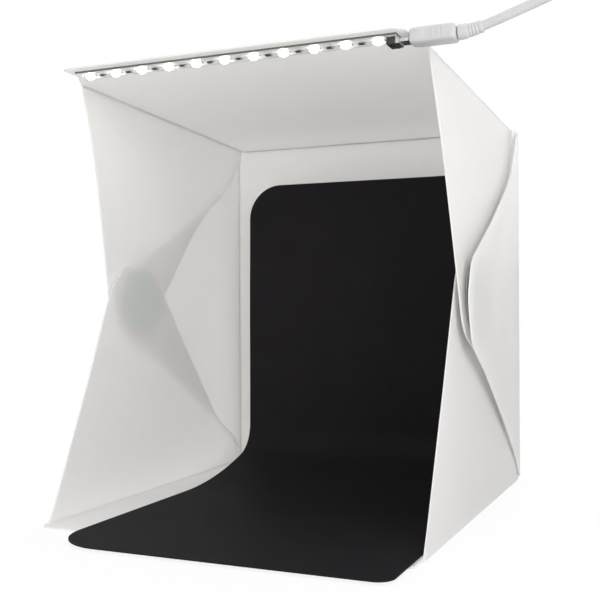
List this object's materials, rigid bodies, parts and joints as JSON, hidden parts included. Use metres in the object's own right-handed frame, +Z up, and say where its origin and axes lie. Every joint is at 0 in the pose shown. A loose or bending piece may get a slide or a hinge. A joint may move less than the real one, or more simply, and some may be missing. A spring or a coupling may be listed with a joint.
{
  "type": "light tent cube",
  "caption": "Open-fronted folding light tent of thin translucent sheet with hook-and-loop side flaps, a light bar under the front lip, a curved slide-out backdrop and a coiled lead.",
  "frame": {"origin": "on the floor, under the middle of the tent's bounding box without the lead", "axes": "+Z up; the tent's open front faces -Y; +X is to the right seen from the front"},
  "size_m": [0.3567, 0.2656, 0.2588],
  "materials": {
    "translucent_sheet": "thin translucent polypropylene sheet, fine satin grain, slightly grey-white",
    "hook_and_loop": "dense hook-and-loop pile, pale grey-green, seen through the sheet as a darker disc",
    "backdrop_sheet": "black satin plastic sheet",
    "board": "white solder-mask light strip",
    "lamp": "small white package with a pale yellow lens",
    "resistor": "small black chip",
    "plated_steel": "nickel-plated sheet steel",
    "lead": "white moulded and extruded vinyl, satin",
    "tie": "black coated band"
  },
  "bodies": {
    "base": {"bottom_panel": "translucent_sheet", "back_panel": "translucent_sheet", "cable": "lead", "cable_coil": "lead", "cable_tie": "tie", "usb_plug_body": "lead", "usb_plug_shell": "plated_steel"},
    "top": {"top_panel": "translucent_sheet", "led_board": "board", "socket_shell": "plated_steel", "plug_tip": "plated_steel", "plug_body": "lead", "strain_relief": "lead", "led_1": "lamp", "led_2": "lamp", "led_3": "lamp", "led_4": "lamp", "led_5": "lamp", "led_6": "lamp", "led_7": "lamp", "led_8": "lamp", "led_9": "lamp", "led_10": "lamp", "led_11": "lamp", "resistor_1": "resistor", "resistor_2": "resistor", "resistor_3": "resistor", "resistor_4": "resistor", "resistor_5": "resistor", "resistor_6": "resistor", "resistor_7": "resistor", "resistor_8": "resistor", "resistor_9": "resistor", "resistor_10": "resistor"},
    "backdrop": {"backdrop": "backdrop_sheet"},
    "left_lower": {"left_lower_flap": "translucent_sheet", "left_disc_lower": "hook_and_loop"},
    "left_upper": {"left_upper_flap": "translucent_sheet", "left_disc_upper_inner": "hook_and_loop", "left_disc_upper_outer": "hook_and_loop"},
    "left_back": {"left_back_flap": "translucent_sheet", "left_disc_back": "hook_and_loop"},
    "right_lower": {"right_lower_flap": "translucent_sheet", "right_disc_lower": "hook_and_loop"},
    "right_upper": {"right_upper_flap": "translucent_sheet", "right_disc_upper_inner": "hook_and_loop", "right_disc_upper_outer": "hook_and_loop"},
    "right_back": {"right_back_flap": "translucent_sheet", "right_disc_back": "hook_and_loop"}
  },
  "joints": [
    {"name": "top_fold", "type": "hinge", "parent": "base", "child": "top", "pos_m": [0, 0.13167, 0.2355], "axis": [-1, 0, 0], "range_deg": [0, 80], "deforming": ["cable"]},
    {"name": "backdrop_slide", "type": "slide", "parent": "base", "child": "backdrop", "axis": [0, -1, 0], "range_m": [0, 0.26]},
    {"name": "left_upper_fold", "type": "hinge", "parent": "top", "child": "left_upper", "pos_m": [-0.1021, 0.13167, 0.2355], "axis": [0, 0.9989, -0.0478], "range_deg": [0, 88]},
    {"name": "left_lower_fold", "type": "hinge", "parent": "base", "child": "left_lower", "pos_m": [-0.1046, -0.10224, 0], "axis": [0, -1, 0], "range_deg": [0, 60]},
    {"name": "left_back_fold", "type": "hinge", "parent": "base", "child": "left_back", "pos_m": [-0.106, 0.13276, 0], "axis": [0, 0, -1], "range_deg": [0, 92]},
    {"name": "right_upper_fold", "type": "hinge", "parent": "top", "child": "right_upper", "pos_m": [0.1021, 0.13167, 0.2355], "axis": [0, -0.9989, 0.0478], "range_deg": [0, 88]},
    {"name": "right_lower_fold", "type": "hinge", "parent": "base", "child": "right_lower", "pos_m": [0.1046, -0.10224, 0], "axis": [0, 1, 0], "range_deg": [0, 60]},
    {"name": "right_back_fold", "type": "hinge", "parent": "base", "child": "right_back", "pos_m": [0.106, 0.13276, 0], "axis": [0, 0, 1], "range_deg": [0, 92]}
  ],
  "couplings": [
    {"joint": "left_upper_fold", "follows": "top_fold", "ratio": 1.1},
    {"joint": "left_lower_fold", "follows": "top_fold", "ratio": 0.75},
    {"joint": "left_back_fold", "follows": "top_fold", "ratio": 1.15},
    {"joint": "right_upper_fold", "follows": "top_fold", "ratio": 1.1},
    {"joint": "right_lower_fold", "follows": "top_fold", "ratio": 0.75},
    {"joint": "right_back_fold", "follows": "top_fold", "ratio": 1.15}
  ]
}
